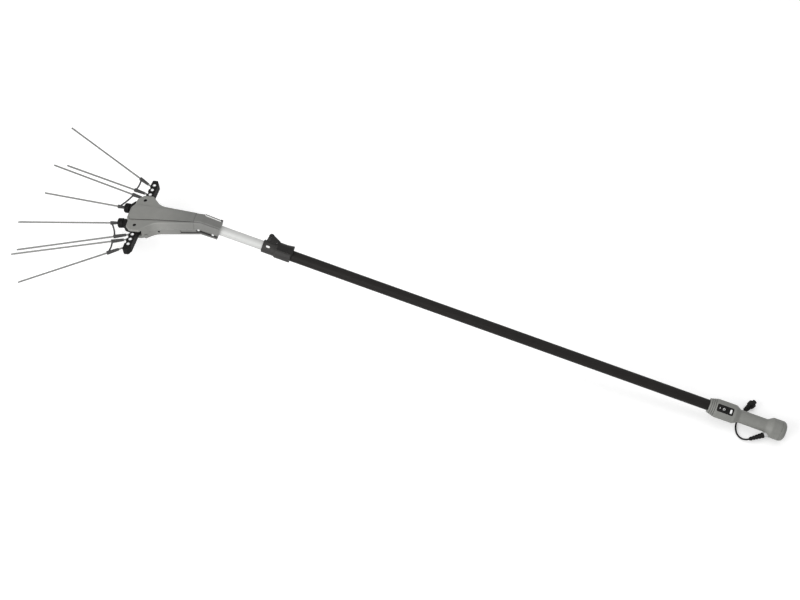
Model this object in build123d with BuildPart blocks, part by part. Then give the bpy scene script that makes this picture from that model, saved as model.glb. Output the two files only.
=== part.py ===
"""Electric olive harvester: telescopic pole, moulded drooping head, two swinging combs of rods.

Millimetres, +Z up. The tool lies on a floor at z = 0, on the tip of its longest inner rod and on
the butt of its handle. The handle points to +X, the combs to -X, and the origin is on the floor
under the middle of the object.
"""
import os
from math import asin, atan2, cos, degrees, hypot, pi, radians, sin, tan

from build123d import *

os.makedirs("parts", exist_ok=True)

# Fits
slide_fit = 0.08
seat_fit = 0.05
body_gap = 0.4

# Pole
tube_d = 30.0
tube_wall = 1.0
inner_d = 26.6
inner_wall = 1.4
tube_shown = 1191.0
inner_shown = 121.0
inner_inside = 1080.0
bush_len = 24.0

# Handle
butt_d = 56.0
butt_len = 51.0
butt_round = 14.0
cap_len = 15.0
seam_w = 1.2
grip_d = 36.6
grip_len = 84.0
collar_d = 52.0
collar_len = 86.0
collar_front_d = 40.0
collar_taper = 22.0
collar_shoulder = 12.0
handle_wall = 3.0
handle_roll = 32.0
groove_w = 2.6
groove_depth = 1.3
groove_count = 3
tube_seat = 62.0

# Switch
bezel_len = 47.0
bezel_back = 19.0
bezel_w = 21.0
bezel_drop = 2.0
bezel_thick = 2.0
rocker_w = 11.0
rocker_len = 21.0
rocker_travel = 14.0
rocker_axle_d = 2.8
switch_wall = 1.8

# Clamp
clamp_len = 92.0
clamp_front_len = 39.0
clamp_front_d = 35.4
clamp_rear_d = 41.0
clamp_roll = -50.0
slit_w = 3.0
ear_r = 6.6
ear_rise = 31.5
ear_back = 15.5
pin_d = 5.0
lever_w = 20.0
lever_back = 8.0
lever_thick = 3.2
lever_hub_r = 7.0
lever_wrap = 170.0
lever_lift = 2.6
clamp_back = 10.0
window_len = 11.0
window_w = 6.0

# Pigtail
gland_place = 37.5
gland_height = 15.5
gland_roll = 118.0
gland_angle = 35.0
gland_d = 15.0
gland_in = 6.0
gland_out = 20.0
relief_len = 41.0
relief_root_d = 16.0
relief_tip_d = 10.0
relief_ribs = 5
cord_d = 5.0
plug_neck_d = 14.0
plug_body_d = 21.0
plug_nose_d = 13.0
plug_neck_len = 17.0
plug_body_len = 16.0
plug_nose_len = 7.0
plug_relief = 1.0
plug_ribs = 3

# Head, in its own drooping frame: h forward from the bend, c up from its axis
droop = 21.5
socket_len = 50.0
socket_half = 20.5
stem_half = 23.0
stem_h = 18.0
neck_half = 36.0
lobe_half = 69.0
brow_half = 52.0
nose_half = 20.0
top_c = 22.0
depth_c = 25.0
wall_draft = 9.0
top_round = 3.0
base_round = 4.0
head_wall = 3.0
spine_lift = 2.5
spine_inset = 6.8
spine_half_front = 27.0
socket_top = 19.5
socket_depth = 24.0
slot_top_c = 16.4
slot_low_c = -6.4
low_lobe_half = 58.0
low_plate_c = -16.0
scoop_top_c = 1.0
scoop_low_c = -17.0
scoop_deep = 2.6
scoop_end_h = 58.0
socket_scoop = 6.0

# Combs, with distances forward and back from their pivots
pivot_h = 177.0
pivot_half = 47.0
pivot_d = 10.0
neck_back = 51.0
lobe_back = 19.0
lobe_front = 11.0
brow_front = 27.0
nose_rise = 8.0
slot_back = 23.0
low_front = 26.0
crank_back = 49.0
bush_wall = 2.0
hub_d = 28.0
arm_low_c = -4.0
arm_high_c = 14.0
web_low_c = -3.0
web_high_c = 6.0
arm_back = 12.5
arm_front = 9.0
arm_tip_half = 132.0
comb_c = 5.0
sector_teeth = 32
rod_d = 4.6
rod_front = [15.0, 15.0, 15.0, 39.0]
rod_half = [120.0, 87.5, 69.0, 27.5]
rod_fan = [33.0, 17.2, 17.8, 6.3]
rod_insert = [24.0, 24.0, 24.0, 34.0]
right_reach = [366.0, 278.0, 320.0, 269.0]
left_reach = [290.0, 315.0, 306.0, 304.0]
sleeve_front = [42.0, 39.0, 39.0, 39.0]
sleeve_len = [34.0, 34.0, 34.0, 21.0]
sleeve_front_d = 10.5
sleeve_rear_d = 7.4
strap_d = 4.4
holder_d = 21.0
holder_len = 22.0
knob_d = 27.0
knob_back = 2.5
knob_len = 14.0
knob_ribs = 3

# Drive
crank_throw = 5.0
lever_arm = 30.0
motor_c = -6.0
motor_d = 31.0
motor_len = 56.0
motor_back = 36.0
wire_room = 11.0404
pinion_teeth = 8
crown_teeth = 28
crown_pitch_r = 18.0
crown_face = 6.0
backlash = 0.7
shaft_d = 8.0
bearing_d = 14.0
bearing_len = 5.0
rotor_d = 5.0
crank_pin_d = 6.0
link_low_c = 8.0
link_high_c = 13.0

# Places along the pole, from the end of the butt
cap_end = cap_len
grip_start = butt_len
collar_start = grip_start + grip_len
handle_len = collar_start + collar_len
clamp_start = handle_len + tube_shown
clamp_end = clamp_start + clamp_len
socket_start = clamp_end + inner_shown
bend = socket_start + socket_len
tube_end = clamp_end - clamp_front_len
inner_end = bend - 8.0
inner_start = tube_end - inner_inside

# Places along the head, from the bend
neck_h = pivot_h - neck_back
lobe_back_h = pivot_h - lobe_back
lobe_front_h = pivot_h + lobe_front
brow_h = pivot_h + brow_front
nose_h = brow_h + nose_rise
slot_back_h = pivot_h - slot_back
low_front_h = pivot_h + low_front
crank_h = pivot_h - crank_back
motor_front_h = crank_h - motor_back
motor_rear_h = motor_front_h - motor_len
cavity_back_h = motor_rear_h - wire_room
arm_rear_h = pivot_h - arm_back
arm_front_h = pivot_h + arm_front
rod_exit = [(pivot_h + front, half) for front, half in zip(rod_front, rod_half)]

# The floor touches the butt and the tip of the longest inner rod, which sets the tilt of the pole
droop_r = radians(droop)
tip_h = rod_exit[3][0] + left_reach[3] * cos(radians(rod_fan[3]))
tip_s = bend + tip_h * cos(droop_r) + comb_c * sin(droop_r)
tip_drop = tip_h * sin(droop_r) - comb_c * cos(droop_r)
rise = tip_drop - butt_d / 2
run = tip_s - butt_round
tilt = atan2(rise, run) + asin(rod_d / 2 / hypot(rise, run))
along = Vector(-cos(tilt), 0, sin(tilt))
up = Vector(sin(tilt), 0, cos(tilt))
far = Vector(0, 1, 0)
reach_x = tip_s * cos(tilt) + tip_drop * sin(tilt) + rod_d / 2
cap_edge_x = (butt_d / 2 - butt_round) * sin(tilt)
butt_x = (reach_x - cap_edge_x) / 2
butt_z = butt_d / 2 * cos(tilt) - butt_round * sin(tilt)
outer_sin = sin(radians(rod_fan[0]))
butt_y = (left_reach[0] - right_reach[0]) * outer_sin / 2
butt = Vector(butt_x, butt_y, butt_z)
pole_axis = Axis(butt, along)
bend_point = butt + along * bend
ahead = along * cos(droop_r) - up * sin(droop_r)
crown = up * cos(droop_r) + along * sin(droop_r)


def pole_side(roll=0.0):
    """Plane through the pole's axis: x along the pole, y out at this roll from the top."""
    turn = radians(roll)
    return Plane(butt, x_dir=along, z_dir=far * cos(turn) + up * sin(turn))


def pole_cross(place, roll=0.0):
    """Plane across the pole: z along the pole, y out at this roll from the top."""
    turn = radians(roll)
    return Plane(butt + along * place, x_dir=far * -cos(turn) - up * sin(turn), z_dir=along)


def head_plan(height=0.0):
    """Plane of the combs at a height: x forward, y to the operator's left."""
    return Plane(bend_point + crown * height, x_dir=ahead, z_dir=crown)


def head_cross(place):
    """Plane across the head: z forward, y up."""
    return Plane(bend_point + ahead * place, x_dir=far * -1, z_dir=ahead)


def head_point(forward, left, height):
    """A point of the head's frame."""
    return bend_point + ahead * forward - far * left + crown * height


def finish(piece, name):
    """Label a finished piece and write it."""
    piece.part.label = name
    export_step(piece.part, "parts/" + name + ".step")


def ring(name, inner, outer, start, length):
    """A plain ring or tube around the pole."""
    with BuildPart() as piece:
        with BuildSketch(pole_cross(start)):
            Circle(outer)
            Circle(inner, mode=Mode.SUBTRACT)
        extrude(amount=length)
    finish(piece, name)


# Tubes of the pole and the bushes that guide one in the other
tube_r = tube_d / 2
bore_r = tube_r - tube_wall
inner_r = inner_d / 2
ring("outer_tube", bore_r, tube_r, tube_seat, tube_end - tube_seat)
ring("inner_tube", inner_r - inner_wall, inner_r, inner_start, inner_end - inner_start)

with BuildPart() as front_bush:
    with BuildSketch(pole_side()):
        with Locations((tube_end - bush_len / 2, (inner_r + slide_fit + bore_r - seat_fit) / 2)):
            Rectangle(bush_len, bore_r - seat_fit - inner_r - slide_fit)
        with Locations((tube_end + tube_wall, (inner_r + slide_fit + tube_r) / 2)):
            Rectangle(2 * tube_wall, tube_r - inner_r - slide_fit)
    revolve(axis=pole_axis)
finish(front_bush, "front_guide_bush")

with BuildPart() as rear_bush:
    with BuildSketch(pole_cross(inner_start - bush_len)):
        Circle(bore_r - slide_fit)
    extrude(amount=bush_len)
    with BuildSketch(pole_cross(inner_start)):
        Circle(inner_r - inner_wall - seat_fit)
    extrude(amount=bush_len)
    with BuildSketch(pole_cross(inner_start - bush_len)):
        Circle(inner_r - 3 * inner_wall)
    extrude(amount=2 * bush_len, mode=Mode.SUBTRACT)
finish(rear_bush, "rear_guide_bush")

# Coiled lead inside the inner tube, as the fat tube that its curls fill
lead_r = inner_r - 4 * inner_wall
ring("coiled_lead", lead_r - cord_d, lead_r, inner_start + 2 * bush_len, inner_inside - 3 * bush_len)


def out(roll):
    """Direction away from the pole's axis at this roll from the top, towards the left."""
    return up * cos(radians(roll)) - far * sin(radians(roll))


def pole_over(place, height, roll):
    """Plane facing away from the pole's axis: x along the pole, z out."""
    facing = out(roll)
    return Plane(butt + along * place + facing * height, x_dir=along, z_dir=facing)


# Handle: flared butt, grip and switch collar, moulded as two halves that clamp the tube
butt_r = butt_d / 2
grip_r = grip_d / 2
collar_r = collar_d / 2
collar_front_r = collar_front_d / 2
flare = butt_r - grip_r
seat_r = tube_r + seat_fit
panel_r = collar_r - bezel_drop
panel_place = collar_start + bezel_back + bezel_len / 2
floor_r = tube_r + handle_wall / 2
switch_len = rocker_len + 2 * body_gap + 2 * switch_wall
switch_w = rocker_w + 2 * body_gap + 2 * switch_wall
rocker_place = panel_place + bezel_len / 2 - switch_len / 2 - switch_wall
gland_dir = along * cos(radians(gland_angle)) + out(gland_roll) * sin(radians(gland_angle))
gland_root = butt + along * gland_place + out(gland_roll) * gland_height
screw_side = collar_r - 6.0
screw_places = [panel_place - bezel_len / 3, panel_place + bezel_len / 3]
screw_seat = -12.0
screw_head_d = 6.4
screw_shank_d = 3.2
screw_head_len = 2.6
screw_len = 20.0


def gland_plane(distance):
    """Plane across the gland and the strain relief."""
    return Plane(gland_root + gland_dir * distance, z_dir=gland_dir)


for half_name, kept in (("handle_upper_shell", Keep.TOP), ("handle_lower_shell", Keep.BOTTOM)):
    with BuildPart() as half:
        with BuildSketch(pole_side()):
            with BuildLine():
                FilletPolyline(
                    (cap_end, butt_r),
                    (butt_len - flare, butt_r),
                    (butt_len + flare / 2, grip_r),
                    (collar_start - 2.0, grip_r),
                    (collar_start + collar_shoulder, collar_r),
                    (handle_len - collar_taper, collar_r),
                    (handle_len, collar_front_r),
                    radius=[9.0, 14.0, 5.0, 7.0, 20.0],
                )
                Polyline((handle_len, collar_front_r), (handle_len, 0), (cap_end, 0), (cap_end, butt_r))
            make_face()
        revolve(axis=pole_axis)
        with BuildSketch(pole_cross(tube_seat)):
            Circle(seat_r)
        extrude(amount=handle_len - tube_seat, mode=Mode.SUBTRACT)
        with BuildSketch(pole_cross(cap_end)):
            Circle(butt_r - handle_wall)
        extrude(amount=butt_len - flare - cap_end, mode=Mode.SUBTRACT)
        with BuildSketch(pole_cross(cap_end)):
            Circle(bore_r - handle_wall)
        extrude(amount=tube_seat - cap_end, mode=Mode.SUBTRACT)
        with BuildSketch(pole_side()):
            for count in range(groove_count):
                edge = handle_len - 5.0 - 2 * groove_w * count
                slope = (collar_r - collar_front_r) / collar_taper
                with Locations((edge, collar_front_r + slope * (handle_len - edge))):
                    Circle(groove_depth)
            with Locations((cap_end, butt_r)):
                Circle(seam_w)
        revolve(axis=pole_axis, mode=Mode.SUBTRACT)
        with BuildSketch(pole_over(panel_place, panel_r - bezel_thick, handle_roll)):
            RectangleRounded(bezel_len, bezel_w, 3.0)
        extrude(amount=bezel_thick + collar_r, mode=Mode.SUBTRACT)
        with BuildSketch(pole_over(rocker_place, floor_r, handle_roll)):
            Rectangle(switch_len + 2 * seat_fit, switch_w + 2 * seat_fit)
        extrude(amount=collar_r, mode=Mode.SUBTRACT)
        with BuildSketch(gland_plane(gland_in)):
            Circle(gland_d / 2 + seat_fit)
        extrude(amount=3 * gland_d, mode=Mode.SUBTRACT)
        for place in screw_places:
            with BuildSketch(pole_over(place, screw_seat, handle_roll)):
                with Locations((0, -screw_side), (0, screw_side)):
                    Circle(screw_shank_d / 2 + seat_fit)
            extrude(amount=screw_len, mode=Mode.SUBTRACT)
            with BuildSketch(pole_over(place, screw_seat, handle_roll)):
                with Locations((0, -screw_side), (0, screw_side)):
                    Circle(screw_head_d / 2 + seat_fit)
            extrude(amount=-collar_r, mode=Mode.SUBTRACT)
        split(bisect_by=pole_over(0, 0, handle_roll), keep=kept)
    finish(half, half_name)

with BuildPart() as screws:
    for place in screw_places:
        with BuildSketch(pole_over(place, screw_seat, handle_roll)):
            with Locations((0, -screw_side), (0, screw_side)):
                Circle(screw_shank_d / 2)
        extrude(amount=screw_len - 1.0)
        with BuildSketch(pole_over(place, screw_seat - screw_head_len, handle_roll)):
            with Locations((0, -screw_side), (0, screw_side)):
                Circle(screw_head_d / 2)
        extrude(amount=screw_head_len)
finish(screws, "handle_screws")

# Butt cap: domed lid pressed into the end of the handle
with BuildPart() as cap:
    with BuildSketch(pole_side()):
        with BuildLine():
            FilletPolyline(
                (0, 0),
                (0, butt_r),
                (cap_end, butt_r),
                radius=butt_round,
            )
            Polyline(
                (cap_end, butt_r),
                (cap_end, butt_r - handle_wall - seat_fit),
                (cap_end + handle_wall, butt_r - handle_wall - seat_fit),
                (cap_end + handle_wall, butt_r - 2 * handle_wall),
                (handle_wall, butt_r - butt_round),
                (handle_wall, 0),
                (0, 0),
            )
        make_face()
        with Locations((cap_end, butt_r)):
            Circle(seam_w, mode=Mode.SUBTRACT)
    revolve(axis=pole_axis)
finish(cap, "butt_cap")

# Switch: bezel in the recess of the collar, switch body below it, rocker on its own axle
with BuildPart() as bezel:
    with BuildSketch(pole_over(panel_place, panel_r - bezel_thick, handle_roll)):
        RectangleRounded(bezel_len - 2 * seat_fit, bezel_w - 2 * seat_fit, 3.0 - seat_fit)
        with Locations((rocker_place - panel_place, 0)):
            Rectangle(rocker_len + 2 * body_gap, rocker_w + 2 * body_gap, mode=Mode.SUBTRACT)
    extrude(amount=bezel_thick)
    lamp_place = (panel_place - bezel_len / 2 + rocker_w / 2 + switch_wall - panel_place, 0)
    with BuildSketch(pole_over(panel_place, panel_r - bezel_thick / 2, handle_roll)):
        with Locations(lamp_place):
            RectangleRounded(rocker_w / 2, rocker_w, 1.5)
    extrude(amount=bezel_thick, mode=Mode.SUBTRACT)
finish(bezel, "switch_bezel")

with BuildPart() as lamp:
    with BuildSketch(pole_over(panel_place, panel_r - bezel_thick / 2 + seat_fit, handle_roll)):
        with Locations(lamp_place):
            RectangleRounded(rocker_w / 2 - 2 * seat_fit, rocker_w - 2 * seat_fit, 1.5 - seat_fit)
    extrude(amount=bezel_thick / 2)
finish(lamp, "charge_lamp")

rocker_axis_r = panel_r - bezel_thick - rocker_axle_d
with BuildPart() as switch:
    with BuildSketch(pole_over(rocker_place, floor_r + seat_fit, handle_roll)):
        Rectangle(switch_len, switch_w)
    extrude(amount=panel_r - bezel_thick - floor_r - 2 * seat_fit)
    with BuildSketch(pole_over(rocker_place, floor_r + switch_wall / 3, handle_roll)):
        Rectangle(switch_len - 2 * switch_wall, switch_w - 2 * switch_wall)
    extrude(amount=collar_r, mode=Mode.SUBTRACT)
    with BuildSketch(pole_side(handle_roll)):
        with Locations((rocker_place, rocker_axis_r)):
            Circle(rocker_axle_d / 2 + seat_fit)
    extrude(amount=switch_w, both=True, mode=Mode.SUBTRACT)
finish(switch, "switch_body")

rocker_tip = radians(rocker_travel / 2)
rocker_side = Plane(
    butt + along * rocker_place + out(handle_roll) * rocker_axis_r,
    x_dir=along * cos(rocker_tip) - out(handle_roll) * sin(rocker_tip),
    z_dir=pole_side(handle_roll).z_dir,
)
rocker_crest = panel_r - rocker_axis_r + 2.4
with BuildPart() as rocker:
    with BuildSketch(rocker_side):
        with BuildLine():
            Polyline(
                (-rocker_len / 2 + 0.8, -0.2),
                (-rocker_len / 2 + 0.3, rocker_crest),
                (0, rocker_crest - 1.5),
                (rocker_len / 2 - 0.3, rocker_crest),
                (rocker_len / 2 - 0.8, -0.2),
                (0, -rocker_axle_d / 2 - 0.2),
                close=True,
            )
        make_face()
    extrude(amount=rocker_w / 2, both=True)
    with BuildSketch(rocker_side):
        Circle(rocker_axle_d / 2)
    extrude(amount=switch_w / 2 - 0.3, both=True)
finish(rocker, "rocker_switch")

# Pigtail: gland nut in the flare of the butt, ribbed strain relief, cord on the floor, plug
with BuildPart() as gland:
    with BuildSketch(gland_plane(gland_in)):
        Circle(gland_d / 2)
    extrude(amount=gland_out - gland_in)
    chamfer(gland.edges().filter_by(GeomType.CIRCLE).sort_by(Axis(gland_root, gland_dir))[-1], 1.2)
    with BuildSketch(gland_plane(gland_in)):
        Circle(cord_d / 2 + seat_fit)
    extrude(amount=gland_out, mode=Mode.SUBTRACT)
finish(gland, "cord_gland")

relief_step = relief_len / relief_ribs
relief_fall = (relief_root_d - relief_tip_d) / 2 / relief_ribs
relief_side = Plane(gland_root + gland_dir * gland_out, x_dir=gland_dir, z_dir=pole_side(gland_roll).z_dir)
with BuildPart() as relief:
    with BuildSketch(relief_side):
        with BuildLine():
            outline = [(0, 0)]
            for count in range(relief_ribs):
                rib_r = relief_root_d / 2 - relief_fall * count
                outline.append((relief_step * count, rib_r - 1.0))
                outline.append((relief_step * (count + 0.18), rib_r))
                outline.append((relief_step * (count + 0.68), rib_r - relief_fall / 2))
                outline.append((relief_step * (count + 0.82), rib_r - 1.2))
            outline.append((relief_len, relief_tip_d / 2 - 0.6))
            outline.append((relief_len, 0))
            Polyline(*outline, close=True)
        make_face()
    revolve(axis=Axis(gland_root, gland_dir))
finish(relief, "strain_relief")

cord_start = gland_root + gland_dir * (gland_out + relief_len)
plug_dir = Vector(0.524, 0.845, 0.16).normalized()
plug_start = Vector(butt_x - 115.0, butt_y + 49.0, 7.5)
cord_rest = cord_d / 2 + 0.1
cord_points = [
    cord_start,
    cord_start + gland_dir * 7.0,
    Vector(butt_x - 107.0, butt_y - 47.5, cord_rest + 1.6),
    Vector(butt_x - 118.0, butt_y - 41.5, cord_rest + 0.2),
    Vector(butt_x - 126.5, butt_y - 30.0, cord_rest),
    Vector(butt_x - 130.5, butt_y - 14.5, cord_rest),
    Vector(butt_x - 131.5, butt_y, cord_rest),
    plug_start - plug_dir * 20.0,
    plug_start,
]
cord_radii = []
for before, corner, after in zip(cord_points, cord_points[1:], cord_points[2:]):
    turn = (corner - before).get_angle(after - corner)
    shorter = min((corner - before).length, (after - corner).length)
    cord_radii.append(0.45 * shorter / tan(radians(turn / 2)))
with BuildPart() as cord:
    with BuildLine():
        route = FilletPolyline(*cord_points, radius=cord_radii)
    with BuildSketch(Plane(cord_start, z_dir=cord_points[1] - cord_start)):
        Circle(cord_d / 2)
    sweep(path=route)
finish(cord, "power_cord")
cord_length = route.length
print("cord radii", [round(value, 1) for value in cord_radii])
print("cord length", round(cord_length, 1), "section times length", round(pi * cord_d**2 / 4 * cord_length))
print("cord volume", round(cord.part.volume))


def plug_plane(distance):
    """Plane across the plug."""
    return Plane(plug_start + plug_dir * distance, z_dir=plug_dir)


plug_side = Plane(plug_start, x_dir=plug_dir, z_dir=Vector(0, 0, 1))
plug_shoulder = plug_neck_len + plug_body_len
with BuildPart() as plug:
    with BuildSketch(plug_side):
        with BuildLine():
            FilletPolyline(
                (0, 0),
                (0, plug_neck_d / 2 - 1.0),
                (plug_neck_len, plug_neck_d / 2),
                (plug_neck_len + 4.0, plug_body_d / 2),
                (plug_shoulder, plug_body_d / 2),
                (plug_shoulder, 0),
                radius=[0, 3.0, 3.0, 2.0],
            )
            Line((plug_shoulder, 0), (0, 0))
        make_face()
    revolve(axis=Axis(plug_start, plug_dir))
    with BuildSketch(plug_side):
        for count in range(plug_ribs):
            rib_place = plug_neck_len / plug_ribs * (count + 0.4)
            rib_r = plug_neck_d / 2 - 1.0 + rib_place / plug_neck_len
            with Locations((rib_place, rib_r)):
                Circle(1.2)
    revolve(axis=Axis(plug_start, plug_dir))
finish(plug, "plug_body")

with BuildPart() as nose:
    with BuildSketch(plug_plane(plug_shoulder)):
        Circle(plug_nose_d / 2 - plug_relief)
    extrude(amount=plug_relief)
    with BuildSketch(plug_plane(plug_shoulder + plug_relief)):
        Circle(plug_nose_d / 2)
    extrude(amount=plug_nose_len)
    with BuildSketch(plug_plane(plug_shoulder + 2 * plug_relief)):
        Circle(plug_nose_d / 2 - 1.4)
    extrude(amount=plug_nose_len, mode=Mode.SUBTRACT)
finish(nose, "plug_nose")

with BuildPart() as contacts:
    with BuildSketch(plug_plane(plug_shoulder + 2 * plug_relief)):
        with Locations((-2.2, 0), (2.2, 0)):
            Circle(1.2)
    extrude(amount=plug_nose_len - 3 * plug_relief)
finish(contacts, "plug_contacts")

# Clamp: split collar on the mouth of the outer tube, closed by a cam lever on a cross pin
front_r = clamp_front_d / 2
rear_r = clamp_rear_d / 2
grip_bore = inner_r + body_gap
mouth_end = tube_end + 2 * tube_wall
ear_place = clamp_end - ear_back
ear_half = lever_w / 2 - 3.4
with BuildPart() as clamp:
    with BuildSketch(pole_side()):
        with BuildLine():
            FilletPolyline(
                (clamp_start + clamp_back, seat_r),
                (clamp_start + clamp_back, rear_r),
                (tube_end, rear_r),
                (mouth_end + 2.0, front_r),
                (clamp_end, front_r),
                (clamp_end, grip_bore),
                (mouth_end + seat_fit, grip_bore),
                (mouth_end + seat_fit, seat_r),
                radius=[0, 2.0, 1.5, 1.5, 2.0, 0, 0, 0],
                close=True,
            )
        make_face()
    revolve(axis=pole_axis)
    with BuildSketch(pole_side(clamp_roll)):
        with BuildLine():
            Polyline(
                (ear_place - ear_r, grip_bore + 2.0),
                (ear_place - ear_r, ear_rise),
                (ear_place + ear_r, ear_rise),
                (ear_place + ear_r + 3.0, grip_bore + 2.0),
                close=True,
            )
        make_face()
        with Locations((ear_place, ear_rise)):
            Circle(ear_r)
    extrude(amount=ear_half, both=True)
    with BuildSketch(pole_side(clamp_roll)):
        with Locations((ear_place, ear_rise)):
            Circle(pin_d / 2 + seat_fit)
    extrude(amount=lever_w, both=True, mode=Mode.SUBTRACT)
    with BuildSketch(pole_over(clamp_end, 0, clamp_roll)):
        Rectangle(2 * clamp_front_len - 8.0, slit_w)
    extrude(amount=ear_rise + 2 * ear_r, mode=Mode.SUBTRACT)
    with BuildSketch(pole_over(ear_place, 0, clamp_roll + 85.0)):
        SlotOverall(window_len, window_w)
    extrude(amount=rear_r, mode=Mode.SUBTRACT)
    with BuildSketch(pole_cross(clamp_start)):
        Circle(grip_bore)
    extrude(amount=clamp_len, mode=Mode.SUBTRACT)
finish(clamp, "clamp_collar")

with BuildPart() as pin:
    with BuildSketch(pole_side(clamp_roll)):
        with Locations((ear_place, ear_rise)):
            Circle(pin_d / 2)
    extrude(amount=lever_w / 2 + 0.8, both=True)
finish(pin, "clamp_pin")

lever_under = rear_r + body_gap
lever_out = lever_under + lever_thick
lever_tail = clamp_start + lever_back
lever_step = mouth_end + 2.0 + body_gap
with BuildPart() as lever:
    with BuildSketch(pole_side(clamp_roll)):
        with BuildLine():
            FilletPolyline(
                (ear_place, ear_rise + lever_hub_r),
                (ear_place - lever_hub_r, ear_rise + lever_hub_r / 2),
                (tube_end - lever_hub_r, lever_out),
                (tube_end - lever_hub_r, grip_bore),
                (ear_place, grip_bore),
                radius=[0, 6.0, 10.0, 0, 0],
                close=True,
            )
        make_face()
        with Locations((ear_place, ear_rise)):
            Circle(lever_hub_r)
    extrude(amount=lever_w / 2, both=True)
    with BuildSketch(pole_side(clamp_roll + lever_wrap / 2)):
        with BuildLine():
            Polyline(
                (tube_end, lever_under - body_gap),
                (tube_end, lever_out),
                (lever_tail + lever_w, lever_out),
                (lever_tail, lever_out + lever_lift),
                (lever_tail, lever_under + lever_lift / 2),
                (lever_tail + lever_w, lever_under - body_gap),
                close=True,
            )
        make_face()
    revolve(axis=pole_axis, revolution_arc=lever_wrap)
    with BuildSketch(pole_cross(clamp_start)):
        Circle(lever_under)
    extrude(amount=lever_step - clamp_start, mode=Mode.SUBTRACT)
    with BuildSketch(pole_cross(tube_end)):
        Circle(front_r + body_gap)
    extrude(amount=clamp_len, mode=Mode.SUBTRACT)
    with BuildSketch(pole_over(ear_place, 0, clamp_roll)):
        Rectangle(4 * lever_hub_r, 2 * ear_half + 2 * body_gap)
    extrude(amount=3 * ear_rise, mode=Mode.SUBTRACT)
    with BuildSketch(pole_side(clamp_roll)):
        with Locations((ear_place, ear_rise)):
            Circle(pin_d / 2 + seat_fit)
    extrude(amount=lever_w, both=True, mode=Mode.SUBTRACT)
finish(lever, "clamp_lever")

# Head shells: upper with the two lobes and the raised spine, lower with the motor tray
draft_fall = tan(radians(wall_draft))
bend_cross = Plane(bend_point, x_dir=far * -1, z_dir=along + ahead)
front_cross = head_cross(stem_h)
rear_cross = pole_cross(socket_start)


def upper_section(half, height):
    """Corners of the upper shell across its stem, with the raised spine on top."""
    edge = half - height * draft_fall
    spine = half - spine_inset
    crest = height + spine_lift
    left = [(half, 0), (edge, height), (spine, height), (spine - 1.0, crest)]
    return left + [(-x, y) for x, y in reversed(left)]


def lower_section(half, depth):
    """Corners of the lower shell across its stem."""
    edge = half - depth * draft_fall
    return [(half, 0), (edge, -depth), (-edge, -depth), (-half, 0)]


def whole(half_outline):
    """A half outline and its mirror image, as one closed run of corners."""
    return half_outline + [(x, -y) for x, y in reversed(half_outline)]


def both_sides(half_radii):
    """Corner radii of a half outline and its mirror image, with sharp rear corners."""
    return [0] + half_radii + half_radii[::-1] + [0]


bend_half = (socket_half + stem_half) / 2
tube_seat_r = inner_r + seat_fit
lead_in = 10.0
flank_slope = (neck_half - stem_half) / (neck_h - stem_h)
spine_slope = 5.0 / (neck_h - stem_h)
upper_outline = [
    (stem_h - lead_in, stem_half - lead_in * flank_slope),
    (neck_h, neck_half),
    (lobe_back_h, lobe_half),
    (lobe_front_h, lobe_half),
    (brow_h, brow_half),
    (brow_h + 1.0, nose_half + 12.0),
    (nose_h, nose_half),
]
upper_radii = [45.0, 8.0, 10.0, 6.0, 5.0, 8.0]
cavity_inset = head_wall + depth_c * draft_fall
cavity_outline = [
    (cavity_back_h, stem_half - cavity_inset),
    (neck_h, neck_half - cavity_inset),
    (slot_back_h + head_wall, low_lobe_half - cavity_inset),
]
spine_start = stem_half - spine_inset
spine_outline = [
    (stem_h - lead_in, spine_start - lead_in * spine_slope),
    (neck_h, spine_start + 5.0),
    (brow_h - spine_inset, spine_half_front),
    (nose_h - spine_inset - 2.0, nose_half - 4.0),
]
spine_radii = [200.0, 4.0, 4.0]
stem_step = 0.4
passage_len = bend - inner_end + (cavity_back_h + 2.0) / cos(droop_r)
upper_ends = [
    (head_cross(stem_h + lead_in), stem_half - stem_step, top_c - stem_step),
    (bend_cross, bend_half, (top_c + socket_top) / 2),
    (rear_cross, socket_half, socket_top),
]
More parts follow.
